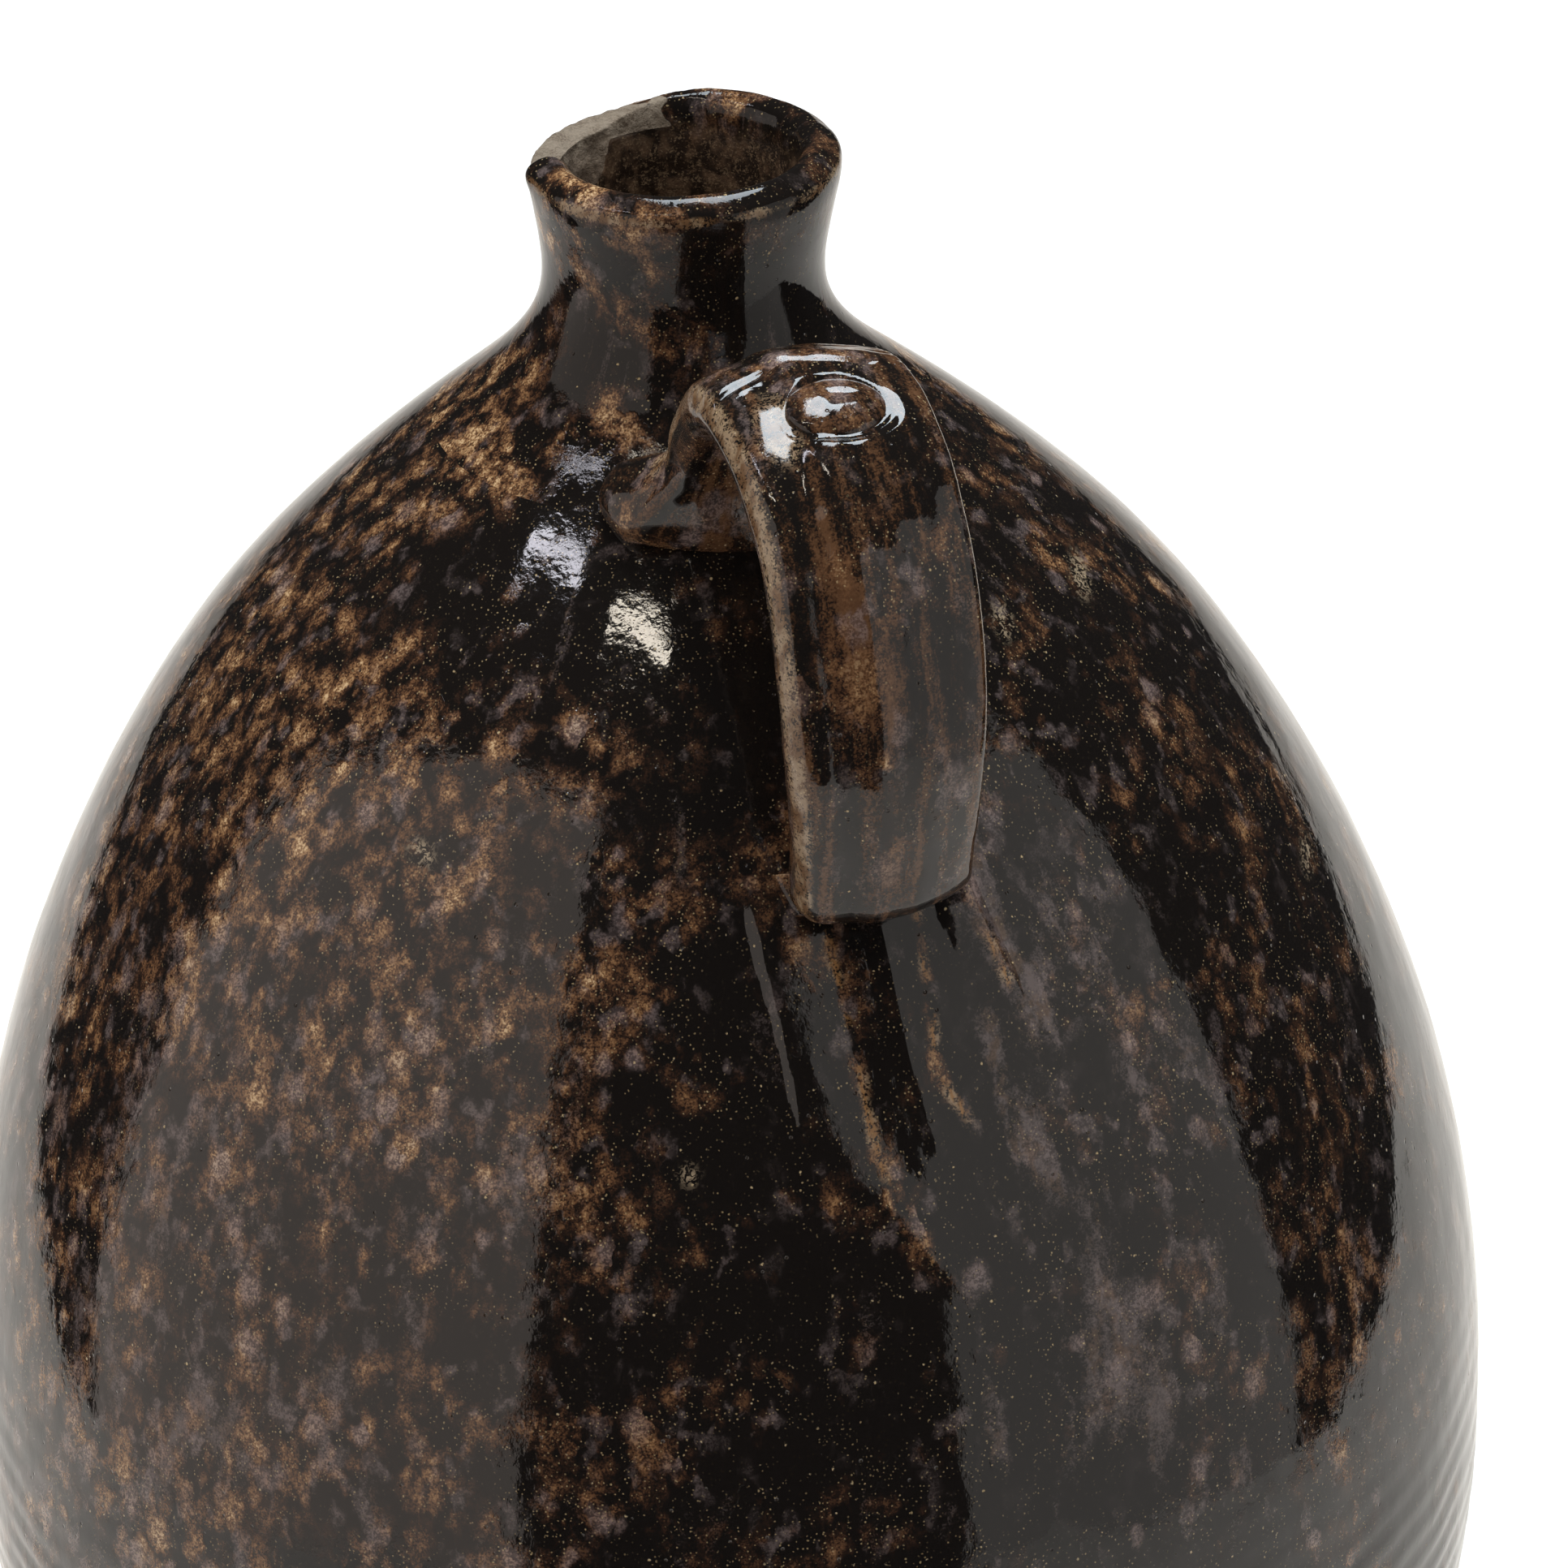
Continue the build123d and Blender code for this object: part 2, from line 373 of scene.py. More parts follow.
def chip(theta, z):
    """Broken amount at each angle, and how far the inner wall is broken back at each height."""
    angle = np.degrees(theta) % 360
    wobble = 1.2 * np.sin(angle * 0.9) + 0.7 * np.sin(angle * 2.3 + 1)
    at = angle + 0.4 * wobble
    amount = np.interp(at, CHIP_ANGLE, CHIP_AMOUNT, left=0, right=0)
    radius = np.interp(at, CHIP_ANGLE, CHIP_RADIUS)
    height = np.interp(at, CHIP_ANGLE, CHIP_HEIGHT)
    foot = np.interp(at, CHIP_ANGLE, CHIP_FOOT)
    back = (radius - 16.6) * np.clip((z - foot) / (height - foot), 0, 1.0)
    return amount, radius, height, amount * back


def jug_rows():
    """Distances along the half section of every row, and the row numbers where pieces meet."""
    stops = [
        (0, 0), (chord_at(BASE_TOP), 8), (chord_at(SHOULDER_JOINT), 106),
        (chord_at(NECK_JOINT), 140), (chord_at(LIP_JOINT), 60), (LIP_OUTER_CHORD, 22),
        (LIP_INNER_CHORD, 30), (chord_at(LIP_JOINT, True), 14), (chord_at(NECK_JOINT, True), 50),
        (chord_at(SHOULDER_JOINT, True), 22), (WALL_CHORDS[-1], 14),
    ]
    rows, marks = [np.array([0.0])], [0]
    for (low, _), (high, count) in zip(stops, stops[1:]):
        rows.append(np.linspace(low, high, count + 1)[1:])
        marks.append(marks[-1] + count)
    return np.concatenate(rows), marks


def jug_surface():
    """Points, normals and material facts of the whole wall, foot to lip to floor, as one grid."""
    rows, marks = jug_rows()
    line = wall_line(rows)
    theta = np.linspace(0, math.tau, SEGMENTS, endpoint=False)
    r = np.repeat(line[:, :1], SEGMENTS, 1)
    z = np.repeat(line[:, 1:], SEGMENTS, 1)
    amount, edge_radius, edge_height, back = chip(theta[None, :] + 0 * z, z)

    inner = rows[:, None] >= LIP_INNER_CHORD
    r = r + np.where(inner, back, 0)
    # Between the lip's outer corner and its inner edge, the broken face takes over from the lip.
    span = (rows >= LIP_OUTER_CHORD) & (rows <= LIP_INNER_CHORD)
    t = (rows[span] - LIP_OUTER_CHORD) / (LIP_INNER_CHORD - LIP_OUTER_CHORD)
    start_r, start_z = line[span][0]
    for column in range(SEGMENTS):
        share = amount[0, column]
        if share <= 0:
            continue
        end_r = line[span][-1, 0] + back[span][-1, column]
        end_z = line[span][-1, 1]
        corner = (start_r - CHIP_BACK * share, start_z - CHIP_DROP * share)
        edge = (edge_radius[0, column], edge_height[0, column])
        path = np.array([corner, edge, (end_r, end_z)])
        along = chords(path)
        broken_r = np.interp(t * along[-1], along, path[:, 0])
        broken_z = np.interp(t * along[-1], along, path[:, 1])
        r[span, column] += share * (broken_r - r[span, column])
        z[span, column] += share * (broken_z - z[span, column])
    below = (rows < LIP_OUTER_CHORD) & (rows > chord_at(LIP_JOINT))
    share = smooth(chord_at(LIP_JOINT), LIP_OUTER_CHORD, rows[below])[:, None]
    z[below] -= CHIP_DROP * share * amount[:1]
    r[below] -= CHIP_BACK * share * amount[:1]

    p = np.stack([r * np.cos(theta), r * np.sin(theta), z], -1)
    outer_normals = grid_normals(p)
    outside = smooth(LIP_OUTER_CHORD + 4, LIP_OUTER_CHORD - 6, rows)[:, None]
    relief = outside * wall_relief(p)
    lip_zone = smooth(chord_at(LIP_JOINT) - 3, LIP_OUTER_CHORD, rows)
    lip_zone = (lip_zone * smooth(LIP_INNER_CHORD + 12, LIP_INNER_CHORD, rows))[:, None]
    relief = relief + lip_zone * (0.10 * lumps(p, 6, 7) + 0.05 * lumps(p, 2.6, 8))
    inside = (rows >= LIP_INNER_CHORD)[:, None] * smooth(0, 20, rows - LIP_INNER_CHORD)[:, None]
    relief = relief + inside * (0.18 * lumps(p, 9, 9) + 0.12 * np.sin(math.tau * z / 4.2))

    uneven = 0.35 * lumps(p, 3.2, 19)
    bare = np.where(span[:, None], smooth(0.45, 0.75, amount + uneven * (amount < 0.97)), 0.0)
    bare = np.maximum(bare, np.where(inner, smooth(0.02, 0.25, back), 0))
    grit = 0.20 * lumps(p, 2.4, 10) + 0.11 * lumps(p, 1.1, 11) - 0.05
    relief = relief * (1 - 0.5 * bare) + bare * grit
    # A hard dark drop of glaze stands where the broken place stops, at the front of the lip.
    drop_at = np.array([math.cos(DROP_ANGLE), math.sin(DROP_ANGLE)]) * DROP_RADIUS
    gap = np.hypot(p[..., 0] - drop_at[0], p[..., 1] - drop_at[1])
    relief = relief + 0.7 * hump(gap, 0, 1.5) * smooth(337, 340.5, p[..., 2])
    p = p + outer_normals * relief[..., None]
    p = p + lean(p[..., 2])
    normals = grid_normals(p)

    width = np.repeat(rows[:, None], SEGMENTS, 1)
    round_p = np.stack([88 * np.cos(theta) + 0 * z, 88 * np.sin(theta) + 0 * z, width], -1)
    facts = facts_at(
        round_p, thin=thin_glaze(p, width), bare=np.clip(bare + bare_foot(p), 0, 1),
        amber=amber_share(p, theta), mauve=mauve_share(p, theta), scar=scars(p),
        inner=smooth(-1.5, 4.0, rows[:, None] - LIP_INNER_CHORD + 1.5 * lumps(p, 4, 20)))
    return p, normals, facts, marks


def thin_glaze(p, width):
    """Where the glaze has run thin: the lip's outer corner and the crests of smeared clay."""
    corner = hump(width, LIP_OUTER_CHORD - 0.6, 0.8)
    broken = smooth(-0.5, 0.5, lumps(p, 5, 17))
    return np.clip(0.8 * corner * (0.3 + broken) + 0.75 * broken * legs(p)[1], 0, 1)


# Small flaked scars in the glaze: place across, height, and half size.
SCARS = [(49, 279, 2.2), (32, 281, 2.0), (79, 233, 2.2), (-58, 262, 1.6), (-33, 226, 1.4)]


def scars(p):
    """Where the glaze has small pale crackled scars, on the handle's side of the jug."""
    share = np.zeros(p.shape[:2])
    for x, z, size in SCARS:
        gap = np.hypot(p[..., 0] - x, p[..., 2] - z)
        share = np.maximum(share, smooth(1.3 * size, 0.3 * size, gap) * (p[..., 1] < 0))
    return share


def bare_foot(p):
    """The glaze stops in an uneven line above the foot."""
    edge = 15 + 5 * lumps(p * (1, 1, 0), 26, 12) + 2 * lumps(p * (1, 1, 0), 9, 13)
    return smooth(0.6, -0.6, p[..., 2] - edge)


def from_camera(theta):
    """Angle of a place round the jug, in degrees to the right of the camera's side."""
    return (np.degrees(theta) + 90 + TURN + 180) % 360 - 180


def amber_share(p, theta):
    """How thickly amber and rust spots lie at each place."""
    side = from_camera(theta)[None, :] + 0 * p[..., 2]
    z = p[..., 2]
    left = hump(side, -58, 48)
    band = hump(z, 262, 34)
    share = 0.38 + 0.30 * left + 0.36 * left * band
    share = share - 0.26 * hump(side, 16, 26) * smooth(285, 240, z)
    share = share + 0.25 * hump(side, 165, 60) + 0.16 * lumps(p, 40, 14)
    share = share + 0.24 * hump(side, -70, 26) * hump(z, 303, 9) - 0.20 * smooth(300, 312, z)
    share = share + 0.20 * hump(side, -35, 40) * hump(z, 332, 8) + 0.9 * legs(p)[1]
    share = share - 0.66 * hump(side, -24, 30) * smooth(277, 284, z) * smooth(310, 303, z)
    return np.clip(share, 0, 1)


def mauve_share(p, theta):
    """How much of the mauve-grey streaking lies at each place."""
    side = from_camera(theta)[None, :] + 0 * p[..., 2]
    z = p[..., 2]
    share = 0.65 * hump(side, 32, 13) * smooth(130, 190, z) * smooth(285, 255, z)
    share = share + 0.45 * hump(side, -50, 40) * smooth(270, 225, z) + 0.30 * hump(side, 165, 45)
    return np.clip(share + 0.15 * lumps(p, 30, 15), 0, 1)


def jug_pieces(surface, materials):
    """Cuts the jug's surface into its rings of clay, each a closed mesh."""
    p, n, facts, marks = surface
    up = np.array([0.0, 0.0, 1.0])
    rings = [
        ("lower_wall", 1, 2, 9, 10, "body_glaze"),
        ("shoulder_dome", 2, 3, 8, 9, "body_glaze"),
        ("neck_collar", 3, 4, 7, 8, "neck_glaze"),
    ]
    for name, low, high, inner_high, inner_low, slot in rings:
        shell = Shell()
        add_rows(shell, p, n, facts, marks[low], marks[high])
        add_rows(shell, p, n, facts, marks[inner_high], marks[inner_low])
        add_ledge(shell, p, facts, marks[high], marks[inner_high], up)
        add_ledge(shell, p, facts, marks[inner_low], marks[low], -up)
        shell.piece(name, materials, slot)
    shell = Shell()
    add_rows(shell, p, n, facts, marks[4], marks[7])
    add_ledge(shell, p, facts, marks[7], marks[4], -up)
    shell.piece("lip_ring", materials, "neck_glaze")


def add_rows(shell, p, n, facts, first, last):
    rows = slice(first, last + 1)
    shell.sheet(p[rows], n[rows], take(facts, rows))


def add_ledge(shell, p, facts, first, second, normal):
    """The flat ring between the outside and the inside, where two rings of clay meet."""
    rows = [first, second]
    shell.sheet(p[rows], np.broadcast_to(normal, p[rows].shape), take(facts, rows))


def base_piece(surface, materials):
    """The slab: a hollowed foot with the marks of the cutting wire, and the jug's floor."""
    p, n, facts, marks = surface
    theta = np.linspace(0, math.tau, SEGMENTS, endpoint=False)
    line, knots = np.array(BOTTOM), chords(BOTTOM)
    at = np.concatenate([np.linspace(0, knots[2], 60), knots[3:]])
    at = np.unique(np.concatenate([at, np.linspace(knots[2], knots[-1], 16)]))
    r, z = np.interp(at, knots, line[:, 0]), np.interp(at, knots, line[:, 1])
    x, y = r[:, None] * np.cos(theta), r[:, None] * np.sin(theta)
    wire = np.hypot(x - 64, y + 30) + 1.5 * lumps(np.stack([x, y, 0 * x], -1), 20, 16)
    cut = 0.35 * (0.6 + 0.4 * np.sin(math.tau * wire / WIRE_MARKS_APART))
    cut = cut * smooth(73, 68, r)[:, None]
    lift = z[:, None] + cut * (z[:, None] > 0.5)
    under = np.stack([x, y, lift], -1)
    under[-1] = p[0]
    normals = grid_normals(under)
    normals[-1] = n[0]
    shell = Shell()
    kept = {k: np.repeat(v[:1], len(at), 0) for k, v in facts.items()}
    kept["flow"] = under * MM
    kept["bare"] = np.ones(under.shape[:2])
    shell.sheet(under, normals, kept)
    add_rows(shell, p, n, facts, 0, marks[1])
    floor_r = np.linspace(1, 0.01, 30)[:, None]
    outer = p[marks[1]]
    floor = outer[None] * np.stack([floor_r, floor_r, floor_r * 0 + 1], -1)
    floor[1:, :, 2] = BASE_TOP
    kept = {k: np.repeat(v[marks[1]][None], len(floor_r), 0) for k, v in facts.items()}
    shell.sheet(floor, np.broadcast_to([0.0, 0.0, 1.0], floor.shape), kept)
    shell.lid(under[0], take(kept, 0), flip=True)
    shell.lid(floor[-1], take(kept, 0))
    shell.piece("base_disc", materials, "bare_clay")


# ---- the handle ----

# The strap from the side, as (distance out from the jug's axis, height), for its outer and under
# sides, each with its slopes at the two ends.
STRAP_OUTER = [
    (33.8, 313), (38, 320.5), (46, 329), (57, 332.5), (69.5, 330.4), (83, 320.5), (93.5, 300),
    (95.4, 287), (94.2, 274), (91.8, 262.5),
]
OUTER_ENDS = ((0, 1.0), (-0.24, -0.97))
STRAP_UNDER = [
    (47, 313), (53.5, 320.8), (61.5, 323.2), (68, 321.2), (75, 316.5), (84.5, 299), (86, 286),
    (85, 280), (83.2, 272.5), (80.4, 265.0),
]
UNDER_ENDS = ((0.5, 0.85), (-0.4, -0.92))
STRAP_ROWS = 260
STRAP_SAMPLES = 10        # for each of the section's corners
HALF_WIDE, HALF_THICK = 15.0, 4.6
FOOT_ROWS = 45            # in each root, besides the row it shares with the strap
SUNK = 1.2                # how far a root's end stands below the wall
BRUSH_MARKS_APART = 2.9
# The strap's section, left edge over the outside to the right edge and back along the under side:
# place across as a share of the half width, then height as (share of half thickness, millimetres).
SECTION = [
    (-1.00, 0.0, -1.9), (-0.985, 0.35, -1.2), (-0.90, 1.0, -2.4), (-0.76, 1.0, -1.45),
    (-0.50, 1.0, -0.70), (-0.22, 1.0, -0.10), (0.08, 1.0, 0.0), (0.38, 1.0, -0.45),
    (0.66, 1.0, -1.25), (0.86, 1.0, -2.20), (0.965, 1.0, -3.1), (1.00, 0.0, -0.6),
    (0.955, -1.0, 1.5), (0.78, -1.0, 0.35), (0.30, -1.0, 0.0), (-0.30, -1.0, 0.1),
    (-0.74, -1.0, 0.35), (-0.94, -1.0, 1.0),
]
# The thumb press: place as (across, along the strap's outer side), and half sizes.
PAD_PLACE = (0.8, 44.0)
PAD_GROOVE = (8.2, 6.5)
PAD_SIZE = (7.1, 5.5)


def section_weights():
    """Weights that turn the section's corners into its smooth outline."""
    across = np.array([(a * HALF_WIDE, b * HALF_THICK + c) for a, b, c in SECTION])
    knots = chords(np.vstack([across, across[:1]]))
    at = np.concatenate([
        np.linspace(a, b, STRAP_SAMPLES, endpoint=False) for a, b in zip(knots, knots[1:])])
    eye = np.eye(len(SECTION))
    return spline(knots, np.vstack([eye, eye[:1]]), at)


def strap_surface():
    """The strap as a grid of sections from the neck's side to its lower end.

    Gives its points, the distance along its outer side, and the place across it."""
    t = np.linspace(0, 1, STRAP_ROWS)
    sides = []
    for line, ends in ((STRAP_OUTER, OUTER_ENDS), (STRAP_UNDER, UNDER_ENDS)):
        knots = chords(line)
        dense = spline(knots, line, np.linspace(0, knots[-1], 800), np.array(ends, float))
        length = chords(dense)
        at = t * length[-1]
        sides.append(np.stack([np.interp(at, length, dense[:, i]) for i in (0, 1)], -1))
    top, bottom = sides
    middle, out = (top + bottom) / 2, unit(top - bottom)
    half_thick = np.linalg.norm(top - bottom, axis=1) / 2
    along = chords(top)
    section = np.array(SECTION)
    wide_left = HALF_WIDE - 1.6 * smooth(0.72, 1.0, t) + 0.5 * hump(t, 0.18, 0.12)
    wide_right = HALF_WIDE - 2.0 * smooth(0.62, 1.0, t) - 0.6 * hump(t, 0.1, 0.12)
    shape = np.minimum(half_thick / HALF_THICK, 1.25)
    lat = np.where(section[:, 0] < 0, wide_left[:, None], wide_right[:, None]) * section[:, 0]
    high = half_thick[:, None] * section[:, 1] + shape[:, None] * section[:, 2]
    # The left edge hangs lower at the crown, where the clay sagged.
    sag = 1.1 * hump(t, 0.33, 0.18)[:, None] * smooth(-0.2, -1, section[:, 0])
    high = high - sag * (section[:, 1] > -0.5) - 0.5 * sag
    weights = section_weights()
    lat, high = lat @ weights.T, high @ weights.T
    sideways = 0.5 * np.sin(t * 5.0)[:, None]
    x = lat + sideways + 0.6 * smooth(0.6, 1.0, t)[:, None]
    y = -(middle[:, :1] + out[:, :1] * high)
    z = middle[:, 1:] + out[:, 1:] * high
    return np.stack([x, y, z], -1), along, lat


def strap_relief(p, along, lat, outer):
    """The strap's own lumps, drag lines, the thumb press and the crease across its crown."""
    x, s = lat, along[:, None] + 0 * lat
    relief = 0.20 * lumps(p, 17, 21) + 0.09 * lumps(p, 7, 22)
    relief = relief + 0.04 * lumps(p * (1, 1, 0.6), 3, 23)
    reach = smooth(18, 40, s) * smooth(along[-1] + 10, along[-1] - 25, s)
    drag = -0.62 * hump(x, -7.8 + 0.8 * np.sin(s / 17), 2.3) + 0.34 * hump(x, -3.0, 2.0)
    drag += 0.10 * hump(x, 3.6 + 0.9 * np.sin(s / 14 + 1), 1.6) - 0.14 * hump(x, 8.0, 2.0)
    crack = smooth(118, 126, s) * smooth(0.55, 0, np.abs(x + 6.0 - 0.5 * np.sin(s / 5)))
    drag += 0.16 * crack
    relief = relief + outer * drag * (0.35 + 0.65 * reach)
    a, b = (x - PAD_PLACE[0]) / PAD_GROOVE[0], (s - PAD_PLACE[1]) / PAD_GROOVE[1]
    ring = np.hypot(a, b)
    relief = relief - outer * (0.10 + 0.60 * smooth(-0.7, 0.9, b)) * hump(ring, 0.98, 0.10)
    relief = relief - outer * 0.8 * smooth(0.98, 0.8, ring)
    line = PAD_PLACE[1] - 11.0 + 0.10 * x + 0.5 * np.sin(x / 3.1)
    fade = smooth(12.5, 8.5, x)
    relief = relief - outer * fade * (0.60 * hump(s, line, 0.7) - 0.30 * hump(s, line + 1.6, 1.0))
    relief = relief + outer * fade * 0.35 * smooth(4.0, 0, np.abs(s - line + 3.0))
    strokes = 0.10 * np.sin(math.tau * (s + 0.25 * x) / BRUSH_MARKS_APART)
    brushed = outer * smooth(line + 1, line - 3, s) * strokes
    return relief + brushed * smooth(2, 12, s) * (0.6 + 0.8 * lumps(p, 9, 28))


def toes(lat):
    """Where the lower root runs on into the smeared legs."""
    return hump(lat, -11.5, 4) + hump(lat, 5.5, 4)


def landing(name, section_lat, side):
    """Where each line of a handle's foot reaches the jug, as points just on the wall."""
    if name == "upper":
        wide = np.where(section_lat < 0, 22.5, 18.5) / HALF_WIDE
        lat = section_lat * wide * (1 - 0.10 * (2 * side - 1) ** 2)
        far = 42.6 - 8.0 * (lat / 21.5) ** 2
        near = 30.0 - 5.0 * (lat / 22.0) ** 2
    else:
        lat = section_lat
        far = 80.6 - 2.4 * ((lat + 1) / 13.0) ** 2 + 0.8 * toes(lat)
        near = 77.0 - 1.2 * (lat / 13.0) ** 2
    share = side if name == "lower" else 1 - side
    return on_wall(lat, near + (far - near) * share)


def on_wall(x, out):
    """Points on the jug's relief at places across and out from its axis, and the wall's normals."""
    def place(dx, dout):
        z = height_at(np.hypot(x + dx, out + dout))
        return np.stack([x + dx, -(out + dout), z], -1)

    p = place(0, 0)
    across, outward = place(0.5, 0) - place(-0.5, 0), place(0, 0.5) - place(0, -0.5)
    n = unit(np.cross(outward, across))
    n = np.where(n[..., 2:] < 0, -n, n)
    return p + n * wall_relief(p)[..., None] + lean(p[..., 2]), n


def foot_grid(ring, heading, name, lat, side):
    """A skirt of clay from the strap's end to the wall, smooth where it leaves and lands."""
    upper = name == "upper"
    land, normal = landing(name, lat, side)
    away = land - land.mean(0)
    away = unit(away - (away * normal).sum(-1, keepdims=True) * normal)
    reach = np.linalg.norm(land - ring, axis=-1, keepdims=True)
    t = np.linspace(0, 1, FOOT_ROWS + 1)[:, None, None]
    leave = ring + heading * (0.35 if upper else 0.55) * reach
    swell = (6.5 if upper else 0.0) * smooth(0, -13, lat)[:, None]
    settle = 1.2 + (0.0 if upper else 2.6) * toes(lat)[:, None]
    meet = land - away * (settle - 0.5 * swell) + normal * swell
    u = 1 - t
    return u**3 * ring + 3 * u**2 * t * leave + 3 * u * t**2 * meet + t**3 * land, normal


def handle_pieces(materials):
    """The strap and its two roots, worked out as one grid and cut into three closed meshes."""
    p, along, lat = strap_surface()
    corner = np.arange(p.shape[1]) / STRAP_SAMPLES
    outer = smooth(0.6, 2.6, corner) * smooth(10.6, 9.2, corner)
    p = p + grid_normals(p, -1) * strap_relief(p, along, lat, outer[None, :])[..., None]
    side = smooth(0.2, 2.2, corner) * smooth(12.2, 9.8, corner)

    head_curve, head_normal = foot_grid(p[0], unit(p[0] - p[3]), "upper", lat[0], side)
    tail_curve, tail_normal = foot_grid(p[-1], unit(p[-1] - p[-4]), "lower", lat[-1], side)
    whole = np.concatenate([head_curve[::-1][:-1], p, tail_curve[1:]])
    length = chords(whole[:, int(6.5 * STRAP_SAMPLES)])
    roots = np.concatenate([
        np.linspace(1, 0, FOOT_ROWS) ** 0.7, np.zeros(STRAP_ROWS),
        np.linspace(0, 1, FOOT_ROWS) ** 0.7])
    bumps = 0.13 * lumps(whole, 6.5, 24) + 0.05 * lumps(whole, 2.8, 25)
    free = (1 - hump(roots, 1.0, 0.12)) * smooth(0, 0.35, roots)
    whole = whole + grid_normals(whole, -1) * (bumps * free[:, None])[..., None]
    normals = grid_normals(whole, -1)
    flat = np.concatenate([
        lat[:1].repeat(FOOT_ROWS, 0), lat, lat[-1:].repeat(FOOT_ROWS, 0)])
    flow = np.stack([flat, np.broadcast_to(corner * 2, flat.shape),
                     np.broadcast_to(length[:, None], flat.shape)], -1)
    facts = facts_at(
        flow, thin=handle_wear(flat, corner, length[:, None], roots[:, None]),
        amber=handle_amber(whole, flat, length, side, roots),
        mauve=0.25 + 0.2 * lumps(whole, 12, 27))

    last, lower = len(whole) - 1, FOOT_ROWS + STRAP_ROWS - 1
    for name, start, end in (("handle_upper_root", 0, FOOT_ROWS),
                             ("handle_strap", FOOT_ROWS, lower),
                             ("handle_lower_root", lower, last)):
        shell = Shell()
        part = slice(start, end + 1)
        piece = whole[part], normals[part], take(facts, part)
        if start == 0:
            piece = sunk(*piece, head_normal, True)
        if end == last:
            piece = sunk(*piece, tail_normal, False)
        points, across, kept = piece
        shell.sheet(points, across, kept, flip=True)
        shell.lid(points[0], take(kept, 0))
        shell.lid(points[-1], take(kept, -1), flip=True)
        shell.piece(name, materials, "handle_glaze")
    return p, along, lat


def handle_wear(across, corner, s, roots):
    """Where the handle's glaze is thin: its two edges, a crest beside the press, and the crack."""
    left_edge = np.exp(-(((corner - 1.3) / 0.72) ** 2))
    edges = left_edge + 0.8 * hump(corner, 10.4, 0.45)
    crack = smooth(1.0, 0.2, np.abs(across + 6.0)) * smooth(150, 162, s)
    wear = edges * (1 - smooth(0.1, 0.6, roots))
    return np.clip(wear + 0.80 * hump(across, -8.5, 3.0) * hump(s, 53, 7) + 0.9 * crack, 0, 1)


def handle_amber(p, across, length, side, roots):
    """How thickly amber lies: below the press, down the middle, on the edge and the under side."""
    s = length[:, None]
    share = 0.24 + 0.22 * lumps(p, 13, 26) + 0.16 * (1 - side)
    share = share + 0.55 * hump(across, -4, 6) * hump(s, 88, 13)
    share = share + 0.30 * hump(across, -1.5, 2) * hump(s, 115, 22)
    return share + 0.12 * roots[:, None] * (s < 60)


def sunk(points, normals, facts, wall_normal, at_start):
    """Adds one row below the wall's surface, so that no gap shows where a root lands."""
    edge = slice(0, 1) if at_start else slice(-1, None)

    def grown(rows, extra):
        return np.concatenate([extra, rows] if at_start else [rows, extra])

    kept = {k: grown(v, v[edge]) for k, v in facts.items()}
    return grown(points, points[edge] - wall_normal * SUNK), grown(normals, normals[edge]), kept


def pad_piece(strap, materials):
    """The pressed oval of clay inside the groove on the crown."""
    p, along, lat = strap
    rings, spokes = 26, 96
    row = int(np.argmin(np.abs(along - PAD_PLACE[1])))
    outside = np.arange(2 * STRAP_SAMPLES, 10 * STRAP_SAMPLES)
    column = outside[np.argmin(np.abs(lat[row, outside] - PAD_PLACE[0]))]
    centre = p[row, column]
    outward = unit(np.cross(p[row + 3, column] - p[row - 3, column],
                            p[row, column + 4] - p[row, column - 4]))
    outward = outward if outward[2] > 0 else -outward
    down = unit(p[row + 5, column] - p[row - 5, column])
    across = unit(np.cross(down, outward))
    across = across if across[0] > 0 else -across
    angle = np.linspace(0, math.tau, spokes, endpoint=False)
    share = np.concatenate([np.linspace(0.02, 1, rings), [1.02, 1.0, 0.9]])
    lift = np.concatenate([np.zeros(rings), [-0.5, -1.1, -1.4]])
    u = PAD_SIZE[0] * share[:, None] * np.cos(angle)
    v = PAD_SIZE[1] * share[:, None] * np.sin(angle)
    flat_share = np.minimum(share, 1)[:, None]
    dome = 0.85 * (1 - flat_share ** 4) + lift[:, None]
    middle = np.stack([u, v, 0 * u], -1)
    fold = 0.36 * smooth(0.66, 0.30, flat_share) * lumps(middle, 3.3, 33)
    bend = -0.020 * v**2 - 0.012 * u**2
    high = 0.25 + dome + fold + bend
    pts = centre + u[..., None] * across + v[..., None] * down + high[..., None] * outward
    pts = pts + outward * (0.05 * lumps(pts, 2.2, 31))[..., None]
    normals = grid_normals(pts)
    if (normals[5, 0] * outward).sum() < 0:
        normals = -normals
    shell = Shell()
    facts = facts_at(pts, thin=0.08, amber=0.45, mauve=0.3)
    turn = (np.cross(pts[3, 1] - pts[3, 0], pts[4, 0] - pts[3, 0]) * outward).sum() < 0
    shell.sheet(pts, normals, facts, flip=bool(turn))
    shell.lid(pts[0], take(facts, 0), flip=not turn)
    shell.lid(pts[-1], take(facts, -1), flip=bool(turn))
    shell.piece("thumb_pad", materials, "handle_glaze")


# ---- materials ----

